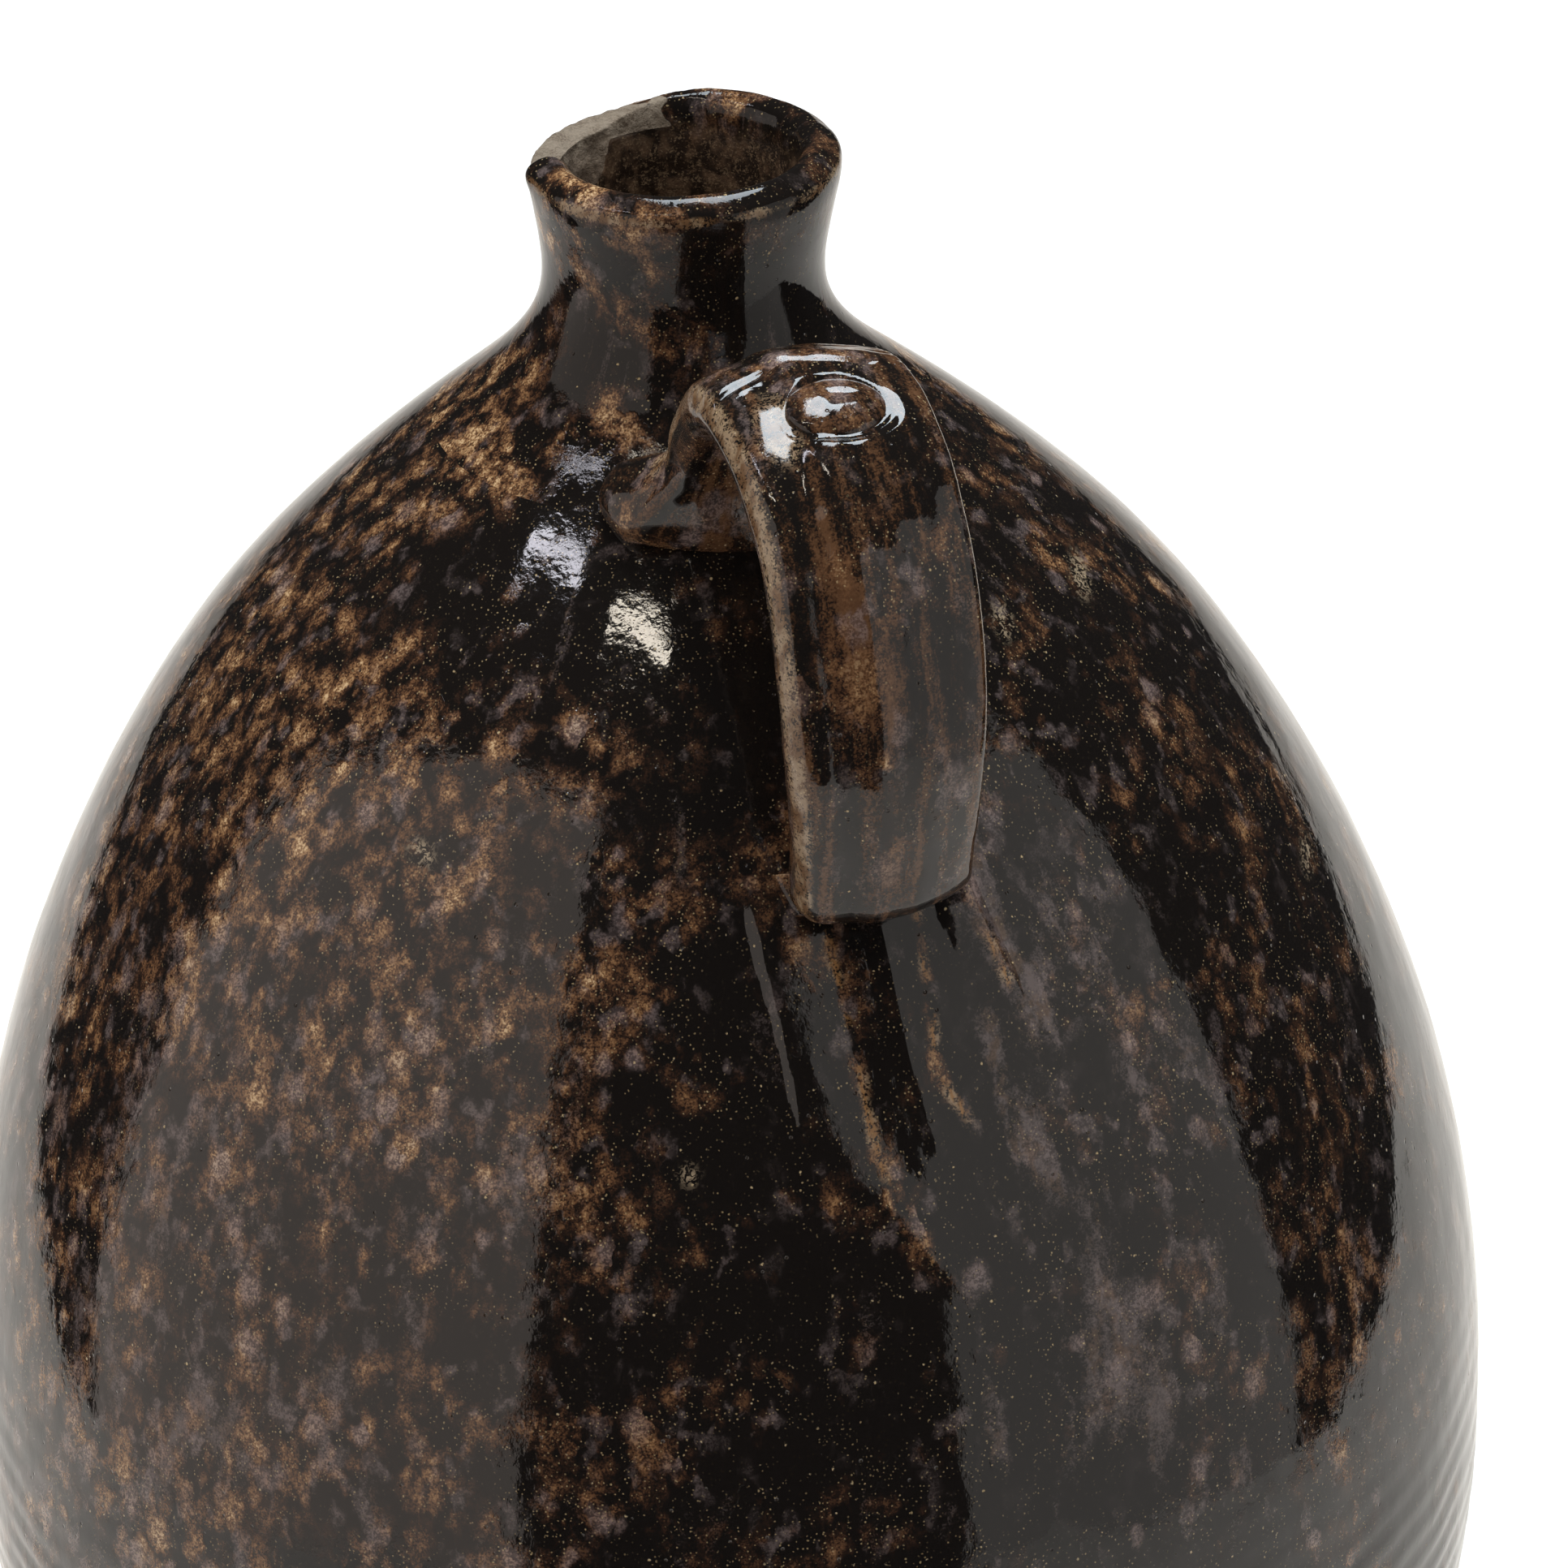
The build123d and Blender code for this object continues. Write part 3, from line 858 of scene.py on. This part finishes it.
class Shader:
    """A short way to write a material's nodes.  Sizes are in millimetres."""

    def __init__(self, name):
        self.material = bpy.data.materials.new(name)
        self.material.use_nodes = True
        self.tree = self.material.node_tree
        self.tree.nodes.clear()

    def node(self, kind, inputs=(), output=0, **settings):
        made = self.tree.nodes.new(kind)
        for key, value in settings.items():
            setattr(made, key, value)
        for key, value in dict(inputs).items():
            socket = made.inputs[key]
            if isinstance(value, bpy.types.NodeSocket):
                self.tree.links.new(value, socket)
            else:
                socket.default_value = (*value, 1) if socket.type == "RGBA" else value
        return made.outputs[output] if made.outputs else None

    def place(self):
        return self.node("ShaderNodeTexCoord", output="Object")

    def fact(self, name, vector=False):
        return self.node("ShaderNodeAttribute", output="Vector" if vector else "Fac",
                         attribute_name=name)

    def shift(self, at, move=(0, 0, 0), stretch=(1, 1, 1)):
        return self.node("ShaderNodeMapping", {"Vector": at, "Location": move, "Scale": stretch})

    def noise(self, at, size, detail=2.0, rough=0.5, warp=0.0):
        return self.node("ShaderNodeTexNoise", {
            "Vector": at, "Scale": 1 / (size * MM), "Detail": detail, "Roughness": rough,
            "Distortion": warp})

    def cells(self, at, size):
        """Distance to the nearest of many scattered points."""
        return self.node(
            "ShaderNodeTexVoronoi", {"Vector": at, "Scale": 1 / (size * MM)}, output="Distance")

    def torn(self, at, size, reach):
        """Places pushed about by up to half of reach, so that marks have torn edges."""
        wander = self.noise(at, size, 3, 0.6).node.outputs["Color"]
        for kind, by in ("SUBTRACT", (0.5, 0.5, 0.5)), ("MULTIPLY", (reach * MM,) * 3):
            wander = self.node("ShaderNodeVectorMath", {0: wander, 1: by}, operation=kind)
        return self.node("ShaderNodeVectorMath", {0: at, 1: wander}, operation="ADD")

    def spots(self, at, size, chance):
        """Separate soft spots: how strong one is at each place, and a number of the spot's own."""
        distance = self.cells(at, size)
        draws = self.node(
            "ShaderNodeSeparateColor", {0: distance.node.outputs["Color"]}).node.outputs
        radius = self.plus(self.times(draws[0], 0.36), 0.24)
        fall = self.band(self.calc("DIVIDE", distance, radius), 1.25, 0.0)
        there = self.band(self.calc("SUBTRACT", chance, draws[1]), -0.06, 0.12)
        return self.times(fall, there), draws[2]

    def calc(self, kind, a, b):
        return self.node("ShaderNodeMath", {0: a, 1: b}, operation=kind)

    def times(self, a, b):
        return self.calc("MULTIPLY", a, b)

    def plus(self, a, b):
        return self.calc("ADD", a, b)

    def greater(self, a, b):
        return self.calc("MAXIMUM", a, b)

    def total(self, *shares):
        """The sum of (value, weight) pairs."""
        result = None
        for value, weight in shares:
            part = self.times(value, weight)
            result = part if result is None else self.plus(result, part)
        return result

    def band(self, value, low, high, start=0.0, end=1.0):
        return self.node("ShaderNodeMapRange", {
            "Value": value, "From Min": low, "From Max": high, "To Min": start, "To Max": end},
            interpolation_type="SMOOTHSTEP")

    def mix(self, share, a, b):
        """The colour a share of the way from a to b."""
        return self.node("ShaderNodeMix", {0: share, 6: a, 7: b}, output=2, data_type="RGBA")

    def ramp(self, value, *stops):
        made = self.tree.nodes.new("ShaderNodeValToRGB")
        bar = made.color_ramp
        while len(bar.elements) < len(stops):
            bar.elements.new(1.0)
        for element, (at, colour) in zip(bar.elements, stops):
            element.position, element.color = at, (*colour, 1)
        self.tree.links.new(value, made.inputs["Fac"])
        return made.outputs["Color"]

    def bump(self, height, depth, onto=None):
        """Relief of that many millimetres for a height that runs from 0 to 1."""
        inputs = {"Height": height, "Distance": depth * MM, "Strength": 1.0}
        if onto is not None:
            inputs["Normal"] = onto
        return self.node("ShaderNodeBump", inputs)

    def finish(self, colour, roughness, normal, gloss=0.5):
        surface = self.node("ShaderNodeBsdfPrincipled", {
            "Base Color": colour, "Roughness": roughness, "Normal": normal, "IOR": 1.5,
            "Specular IOR Level": gloss})
        self.node("ShaderNodeOutputMaterial", {"Surface": surface})
        return self.material


BLACK = (0.0058, 0.0046, 0.0040)
UMBER = (0.026, 0.013, 0.0080)
RUSSET = (0.060, 0.027, 0.0125)
RUST = (0.098, 0.048, 0.023)
AMBER = (0.208, 0.116, 0.054)
STRAW = (0.39, 0.27, 0.150)
GOLD_DUST = (0.42, 0.31, 0.165)
MAUVE_DARK, MAUVE, FAWN = (0.070, 0.052, 0.050), (0.185, 0.142, 0.134), (0.15, 0.092, 0.062)
WORN_DARK, WORN_PALE = (0.105, 0.056, 0.026), (0.225, 0.160, 0.100)
WORN_AMBER = (0.20, 0.100, 0.036)
SCAR, PIT = (0.235, 0.180, 0.120), (0.02, 0.014, 0.01)
INSIDE_DARK, INSIDE_BROWN = (0.020, 0.0115, 0.0072), (0.105, 0.062, 0.036)
INSIDE_PALE = (0.20, 0.135, 0.080)
CLAY_DARK, CLAY, CLAY_PALE = (0.075, 0.054, 0.036), (0.135, 0.108, 0.080), (0.205, 0.167, 0.125)
DEEP_CLAY_DARK, DEEP_CLAY = (0.055, 0.036, 0.023), (0.15, 0.110, 0.078)
FOOT_DARK, FOOT_PALE = (0.20, 0.13, 0.082), (0.33, 0.245, 0.165)
SCORCH, FOOT_GRAIN, GROG = (0.15, 0.085, 0.050), (0.42, 0.34, 0.25), (0.10, 0.07, 0.05)


def textures(s, push, spot):
    """What the glaze's layers share.  push adds spots everywhere, and spot is their size beside
    the body's own."""
    s.spot = spot
    s.at, s.flow = s.place(), s.fact("flow", vector=True)
    s.cluster = s.noise(s.at, 14, 2, 0.5, 0.2)
    s.patch = s.noise(s.shift(s.at, stretch=(1, 1, 0.75)), 2.5 * spot, 3, 0.6, 0.4)
    fleck = s.noise(s.shift(s.at, (0.3, 0.1, 0.2)), 0.95, 3, 0.65, 0.2)
    s.grain = s.noise(s.at, 0.34, 2, 0.6)
    s.grit = s.band(s.total((fleck, 0.48), (s.grain, 0.52)), 0.39, 0.63)
    share = s.total((s.band(s.cluster, 0.36, 0.64), 0.55), (s.fact("amber"), 1.15))
    s.share = s.plus(share, push - 0.22)
    s.ragged = s.torn(s.shift(s.at, stretch=(1, 1, 0.72)), 3.2, 2.6)


def spots_and_cloud(s, wash):
    """Separate soft spots of two sizes on a cloudy wash, thicker in some places than others."""
    s.large, s.large_draw = s.spots(s.ragged, 5.6 * s.spot, s.share)
    small, small_draw = s.spots(s.shift(s.ragged, (0.021, 0.033, 0.012)), 3.0 * s.spot, s.share)
    cloud = s.band(s.noise(s.ragged, 4.6 * s.spot, 4, 0.6), 0.42, 0.66, 0.0, wash)
    cloud = s.times(cloud, s.band(s.share, 0.0, 0.95, 0.30, 1.45))
    mark = s.plus(s.total((s.large, 0.62), (small, 0.45)), cloud)
    s.mark = s.calc("MINIMUM", mark, 1.0)
    heat = s.times(s.mark, s.total((s.grit, 0.88), (s.patch, 0.50), (small_draw, 0.10)))
    heat = s.times(heat, s.band(s.share, 0.10, 1.0, 0.20, 0.95))
    return s.ramp(heat, (0.04, BLACK), (0.18, UMBER), (0.42, RUST), (0.70, AMBER), (1.0, STRAW))


def streaks(s, colour, amount):
    """Long amber and brown streaks down a pulled strap."""
    drawn_out = s.shift(s.torn(s.flow, 4.0, 1.6), (0.02, 0.0, 0.01), (1.0, 0.2, 0.10))
    pull = s.total((s.noise(drawn_out, 2.4, 3, 0.6), 0.8), (s.patch, 0.12), (s.grit, 0.10))
    pull = s.plus(pull, s.times(s.fact("amber"), 0.16))
    pull = s.times(s.band(pull, 0.50, 0.70), amount)
    tone = s.total((pull, 0.75), (s.grit, 0.30))
    tone = s.ramp(tone, (0.10, UMBER), (0.45, RUSSET), (0.95, RUST))
    return s.mix(s.times(pull, 0.9), colour, tone)


def mauve_runs(s, colour):
    """Mauve hearts in some of the spots, a mauve haze, and long mauve runs."""
    mauve = s.fact("mauve")
    heart = s.band(s.total((s.large_draw, 1.0), (mauve, 0.9)), 0.70, 0.92)
    heart = s.times(heart, s.band(s.total((s.large, 0.7), (s.patch, 0.6)), 0.40, 0.90))
    haze = s.noise(s.shift(s.ragged, (0.07, 0.02, 0.04)), 4.2, 3, 0.5)
    haze = s.band(s.total((haze, 1.0), (mauve, 0.10)), 0.57, 0.72)
    haze = s.times(haze, s.band(s.share, 0.0, 0.6, 0.05, 0.50))
    heart = s.greater(s.times(heart, 0.75), haze)
    tone = s.mix(s.band(s.grit, 0.15, 0.85), MAUVE_DARK, MAUVE)
    colour = s.mix(s.times(heart, 0.85), colour, tone)
    run = s.shift(s.torn(s.flow, 2.2, 2.5), (0.05, 0.02, 0.0), (1.0, 1.0, 0.30))
    veil = s.noise(run, 6.0, 3, 0.55, 0.4)
    veil = s.band(s.total((veil, 0.62), (s.grit, 0.06), (mauve, 0.16)), 0.43, 0.57, 0.0, 0.42)
    return s.mix(veil, colour, s.mix(s.band(s.patch, 0.45, 0.62), MAUVE, FAWN))


def wear(s, colour):
    """Worn and thin places, broken up by the grain."""
    s.worn = s.times(s.fact("thin"), s.band(s.grit, -0.35, 0.80))
    tone = s.mix(s.band(s.patch, 0.40, 0.60), WORN_DARK, WORN_PALE)
    tone = s.mix(s.band(s.fact("amber"), 0.75, 0.98), tone, WORN_AMBER)
    return s.mix(s.band(s.worn, 0.12, 0.55, 0.0, 0.9), colour, tone)


def specks(s, colour):
    """Fine pale specks and dust, small flaked scars, and dark pinholes."""
    speck = s.cells(s.shift(s.at, (0.11, 0.07, 0.03)), 2.6)
    speck = s.band(s.total((speck, 1.0), (s.grit, 0.08)), 0.12, 0.07)
    s.speck = s.times(speck, s.band(s.patch, 0.40, 0.56))
    dust = s.band(s.total((s.cells(s.at, 0.7), 1.0), (s.grain, 0.60)), 0.53, 0.40)
    where = s.total((s.cluster, 0.5), (s.patch, 0.5))
    dust = s.times(dust, s.band(where, 0.42, 0.58, 0.03, 0.60))
    colour = s.mix(s.times(s.greater(s.speck, dust), 0.75), colour, GOLD_DUST)
    crackle = s.band(s.noise(s.at, 0.9, 3, 0.75, 0.8), 0.49, 0.58)
    s.scar = s.times(s.fact("scar"), crackle)
    colour = s.mix(s.scar, colour, SCAR)
    s.pit = s.band(s.cells(s.shift(s.at, (0.5, 0.2, 0.9)), 4.1), 0.085, 0.03)
    return s.mix(s.times(s.pit, 0.85), colour, PIT)


def inside_and_clay(s, colour):
    """The dull brown inside of the neck, and bare clay in the lip's chip and at the foot."""
    inner, bare = s.fact("inner"), s.band(s.fact("bare"), 0.4, 0.6)
    inside = s.mix(s.band(s.patch, 0.42, 0.64), INSIDE_DARK, INSIDE_BROWN)
    inside = s.mix(s.band(s.grit, 0.55, 0.95, 0.0, 0.7), inside, INSIDE_PALE)
    colour = s.mix(inner, colour, inside)
    clay = s.mix(s.band(s.patch, 0.38, 0.62), CLAY_DARK, CLAY)
    clay = s.mix(s.band(s.grain, 0.35, 0.62, 0.0, 0.6), clay, CLAY_PALE)
    deep = s.mix(s.band(s.patch, 0.40, 0.60), DEEP_CLAY_DARK, DEEP_CLAY)
    s.dull = s.greater(bare, s.times(inner, 0.72))
    return s.mix(bare, colour, s.mix(inner, clay, deep))


def dullness(s):
    """Glossy glaze, a little duller where it is marked or worn, and dull clay."""
    shine = s.total((s.mark, 0.06), (s.worn, 0.20),
                    (s.band(s.grain, 0.5, 0.75), 0.03), (s.scar, 0.15))
    return s.node("ShaderNodeMix", {0: s.dull, 2: s.plus(shine, 0.035), 3: 0.80})


def skin(s):
    """Orange-peel glaze with raised marks, pinholes and gritty clay."""
    drawn = s.noise(s.shift(s.at, (0.4, 0.6, 0.2), (1, 1, 0.5)), 1.3, 3, 0.55)
    holes = s.greater(s.pit, s.times(s.speck, 0.5))
    gritty = s.times(s.noise(s.at, 0.6, 4, 0.7), s.dull)
    normal = s.bump(s.noise(s.at, 2.6, 2, 0.5), 0.020)
    raised = s.times(s.mark, s.grit)
    for height, depth in ((drawn, 0.010), (s.mark, 0.030), (raised, 0.012), (holes, -0.10),
                          (gritty, 0.35)):
        normal = s.bump(height, depth, normal)
    return normal


def glaze(name, push=0.0, spot=1.0, wash=0.35, gloss=0.5, streak=0.0):
    """Dark iron glaze: amber where it broke, mauve where it ran, with pits, specks and wear."""
    s = Shader(name)
    textures(s, push, spot)
    colour = spots_and_cloud(s, wash)
    colour = streaks(s, colour, streak) if streak else colour
    for layer in (mauve_runs, wear, specks, inside_and_clay):
        colour = layer(s, colour)
    return s.finish(colour, dullness(s), skin(s), gloss)


def bare_clay(name):
    """Unglazed stoneware: warm grey-brown, gritty, a little darker where the fire caught it."""
    s = Shader(name)
    at = s.place()
    cloud, patch = s.noise(at, 22, 3, 0.6, 0.5), s.noise(at, 5, 3, 0.6)
    grain = s.noise(at, 0.7, 4, 0.7)
    colour = s.mix(s.band(cloud, 0.38, 0.62), FOOT_DARK, FOOT_PALE)
    colour = s.mix(s.band(patch, 0.52, 0.70, 0.0, 0.6), colour, SCORCH)
    colour = s.mix(s.band(grain, 0.54, 0.70, 0.0, 0.6), colour, FOOT_GRAIN)
    grog = s.band(s.cells(at, 2.6), 0.16, 0.08)
    colour = s.mix(s.times(grog, 0.6), colour, GROG)
    normal = s.bump(grog, -0.18, s.bump(grain, 0.30))
    return s.finish(colour, s.band(grain, 0.3, 0.7, 0.72, 0.92), normal, gloss=0.3)


# ---- camera, lights and floor ----

PHOTO_TO_CAD = Matrix.Rotation(math.radians(-TURN), 4, "Z")
CAMERA_PLACE = (0, -0.9, 0.73133)
CAMERA_PAN, CAMERA_PITCH, CAMERA_ROLL = -0.8117, 28.906, 2.262      # degrees
CAMERA_LENS, CAMERA_SENSOR = 152.8, 36.0


def camera():
    """Stands 0.9 m out and 0.73 m up, and looks down at the jug's shoulder."""
    turns = ((CAMERA_PAN, "Z"), (90 - CAMERA_PITCH, "X"), (-CAMERA_ROLL, "Z"))
    pan, pitch, roll = (Matrix.Rotation(math.radians(angle), 4, axis) for angle, axis in turns)
    data = bpy.data.cameras.new("camera")
    data.sensor_width, data.lens = CAMERA_SENSOR, CAMERA_LENS
    data.clip_start, data.clip_end = 0.05, 50.0
    made = in_scene("camera", data)
    made.matrix_world = PHOTO_TO_CAD @ Matrix.Translation(CAMERA_PLACE) @ pan @ pitch @ roll
    bpy.context.scene.camera = made


SHOULDER = (0, 0, 0.30)


def panel(name, place, aim, along, size, brightness, colour=(1, 1, 1)):
    """A soft panel that faces aim, with its length along a direction.

    Metres in the camera's own frame of the jug; brightness 1 is as bright as a white page."""
    data = bpy.data.lights.new(name, "AREA")
    data.shape, data.size, data.size_y = "RECTANGLE", *size
    data.energy = brightness * size[0] * size[1] * math.pi
    data.color = colour
    made = in_scene(name, data)
    z = (Vector(place) - Vector(aim)).normalized()
    x = (Vector(along) - Vector(along).dot(z) * z).normalized()
    axes = Matrix((x, z.cross(x), z)).transposed().to_4x4()
    made.matrix_world = PHOTO_TO_CAD @ Matrix.Translation(place) @ axes
    made.visible_camera = False
    return made


def standing_panel(name, facing, distance, reach, heights, brightness, colour=(1, 1, 1)):
    """An upright panel square to one direction round the jug, reaching left and right of it."""
    a = math.radians(facing)
    out, along = Vector((math.sin(a), -math.cos(a), 0)), Vector((math.cos(a), math.sin(a), 0))
    place = distance * out + sum(reach) / 2 * along + Vector((0, 0, sum(heights) / 2))
    size = (reach[1] - reach[0], heights[1] - heights[0])
    return panel(name, place, place - out, along, size, brightness, colour)


def lights():
    """Two tall softboxes, three small windows that make the highlights, and a ceiling for fill."""
    standing_panel(
        "left_softbox", -36, 0.90, (-2.12, 0.13), (-0.7, 1.37), 0.92, (1.0, 0.88, 0.80))
    standing_panel(
        "right_softbox", 65, 1.10, (-0.69, 0.42), (-0.7, 1.14), 0.68, (1.0, 0.95, 0.90))
    panel("left_window", (-0.62, -0.135, 1.27), SHOULDER, (0.79, -0.61, 0), (0.34, 0.030), 16.0,
          (0.93, 0.91, 1.0))
    panel("cream_window", (-0.24, -0.42, 1.33), SHOULDER, (0.95, -0.32, 0), (0.26, 0.022), 20.0,
          (1.0, 0.90, 0.76))
    panel("top_window", (0.145, 0.28, 1.50), (0, 0, 0.33), (1, 0, 0), (0.63, 0.64), 13.0,
          (0.84, 0.93, 1.0))
    ceiling = panel("ceiling", (0, 0.2, 1.75), (0, 0.2, 0), (1, 0, 0), (2.6, 2.6), 2.3)
    ceiling.visible_glossy = False


def world():
    """Near white to the camera and dark to reflections, so the pale floor has no end."""
    made = bpy.data.worlds.new("studio")
    made.use_nodes = True
    tree = made.node_tree
    tree.nodes.clear()
    path, mix, out = (
        tree.nodes.new("ShaderNode" + kind) for kind in ("LightPath", "MixShader", "OutputWorld"))
    tree.links.new(path.outputs["Is Camera Ray"], mix.inputs[0])
    for socket, colour in ((1, (0.020, 0.020, 0.021, 1)), (2, (0.98, 0.98, 0.98, 1))):
        background = tree.nodes.new("ShaderNodeBackground")
        background.inputs["Color"].default_value = colour
        tree.links.new(background.outputs[0], mix.inputs[socket])
    tree.links.new(mix.outputs[0], out.inputs["Surface"])
    bpy.context.scene.world = made


def floor_material(name, tone):
    """Matt pale paper with faint broad clouds."""
    s = Shader(name)
    at = s.place()
    cloud = s.noise(at, 240, 3, 0.5)
    colour = s.mix(cloud, tuple(tone), tuple(t + 0.03 for t in tone))
    normal = s.bump(s.noise(at, 3, 3, 0.6), 0.05)
    return s.finish(colour, s.band(cloud, 0.3, 0.7, 0.75, 0.85), normal, gloss=0.1)


# The table's outline in the camera's own frame of the jug, in metres.
TABLE = [(-0.48, -0.5), (0.46, -0.5), (0.46, 0.0), (0.62, 0.4), (0.85, 1.0), (1.35, 2.6),
         (-1.35, 2.6), (-0.9, 1.2), (-0.72, 0.6), (-0.50, 0.1)]


def floors():
    """The wide floor that the camera sees, and just under it the table that the glaze mirrors."""
    for name, corners, z, tone in (
        ("floor", [(-6, -6), (6, -6), (6, 6), (-6, 6)], 0.0, (0.90, 0.90, 0.90)),
        ("table", TABLE, -0.0004, (0.62, 0.585, 0.545)),
    ):
        mesh = bpy.data.meshes.new(name)
        mesh.from_pydata([(x, y, z) for x, y in corners], [], [list(range(len(corners)))])
        mesh.materials.append(floor_material("pale_" + name, tone))
        made = in_scene(name, mesh)
        made.matrix_world = PHOTO_TO_CAD
        made.visible_glossy = made.visible_shadow = name == "table"


# ---- the whole scene ----

materials = {
    "body_glaze": glaze("body_glaze"),
    "neck_glaze": glaze("neck_glaze", push=-0.04, spot=1.3, wash=0.80, gloss=0.31),
    "handle_glaze": glaze("handle_glaze", push=0.02, spot=1.3, wash=0.60, streak=0.85),
    "bare_clay": bare_clay("bare_clay"),
}
jug = jug_surface()
jug_pieces(jug, materials)
base_piece(jug, materials)
strap = handle_pieces(materials)
pad_piece(strap, materials)
camera()
lights()
world()
floors()
bpy.context.scene.view_settings.view_transform = "Standard"
